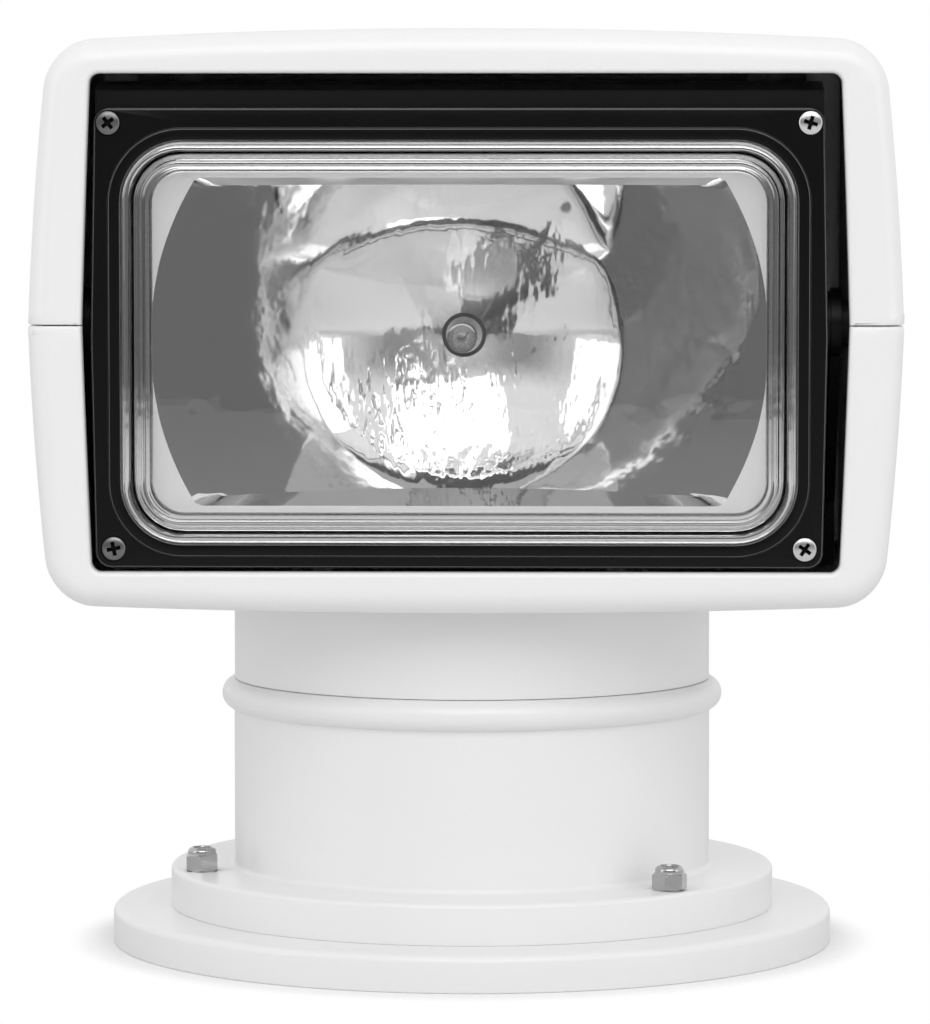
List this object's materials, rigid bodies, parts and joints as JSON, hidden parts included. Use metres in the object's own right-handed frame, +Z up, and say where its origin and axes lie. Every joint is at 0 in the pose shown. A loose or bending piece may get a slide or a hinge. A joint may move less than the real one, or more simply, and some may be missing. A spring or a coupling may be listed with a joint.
{
  "type": "marine searchlight",
  "caption": "Remote-control marine searchlight: a rectangular lamp tilts in a rounded white head that turns on a round flanged base, with pan and tilt gear drives.",
  "frame": {"origin": "centre of the mounting plate's underside, on the deck, on the pan axis", "axes": "+Z up along the pan axis, -Y the way the lamp faces at rest, +X to the right seen from the front"},
  "size_m": [0.218, 0.19, 0.2386],
  "materials": {
    "white_plastic": "moulded, semi-gloss",
    "black_plastic": "moulded, satin",
    "steel": "plain",
    "screw_steel": "bright",
    "spring_steel": "blackened",
    "motor_grey": "satin",
    "brass": "turned",
    "bearing_plastic": "moulded",
    "rubber": "matt",
    "lens_glass": "clear, moulded",
    "bulb_glass": "clear",
    "mirror": "vapour-silvered",
    "holder_plastic": "heat-proof"
  },
  "bodies": {
    "base": {"mounting_plate": "white_plastic", "cable_grommet": "rubber", "base_gasket": "rubber", "base_housing": "white_plastic", "mounting_studs": "steel", "stud_nuts": "steel", "pan_bush": "brass", "thrust_washer": "bearing_plastic", "pan_motor": "motor_grey", "pan_motor_screws": "screw_steel"},
    "pan_pinion": {"pan_pinion": "brass"},
    "turret": {"pan_gear": "bearing_plastic", "pan_shaft": "steel", "pan_retaining_ring": "spring_steel", "shaft_screws": "screw_steel", "neck": "white_plastic", "neck_screws": "screw_steel", "lower_shell": "white_plastic", "upper_shell": "white_plastic", "shell_seal": "rubber", "shell_screws": "screw_steel", "yoke": "steel", "yoke_screws": "screw_steel", "trunnion_bushes": "bearing_plastic", "tilt_motor": "motor_grey", "tilt_motor_bracket": "steel", "tilt_motor_screws": "screw_steel", "bracket_screws": "screw_steel"},
    "tilt_pinion": {"tilt_pinion": "brass"},
    "lamp": {"tilt_sector": "bearing_plastic", "sector_screws": "screw_steel", "trunnion_pins": "steel", "lamp_carrier": "black_plastic", "bezel": "black_plastic", "bezel_screws": "screw_steel", "lens_gasket": "rubber", "lens": "lens_glass", "reflector": "mirror", "bulb": "bulb_glass", "bulb_holder": "holder_plastic", "bulb_clip": "steel"}
  },
  "joints": [
    {"name": "pan", "type": "hinge", "parent": "base", "child": "turret", "pos_m": [0, 0, 0.069], "axis": [0, 0, 1], "range_deg": [-170, 170]},
    {"name": "tilt", "type": "hinge", "parent": "turret", "child": "lamp", "pos_m": [0, -0.06, 0.1651], "axis": [-1, 0, 0], "range_deg": [-20, 20]},
    {"name": "pan_pinion_spin", "type": "hinge", "parent": "base", "child": "pan_pinion", "pos_m": [-0.02988, 0.02507, 0.06], "axis": [0, 0, 1], "range_deg": [-570, 570]},
    {"name": "tilt_pinion_spin", "type": "hinge", "parent": "turret", "child": "tilt_pinion", "pos_m": [0.084, 0.015, 0.1651], "axis": [-1, 0, 0], "range_deg": [-150, 150]}
  ],
  "couplings": [
    {"joint": "pan_pinion_spin", "follows": "pan", "ratio": -3.3333},
    {"joint": "tilt_pinion_spin", "follows": "tilt", "ratio": -7.3333}
  ]
}
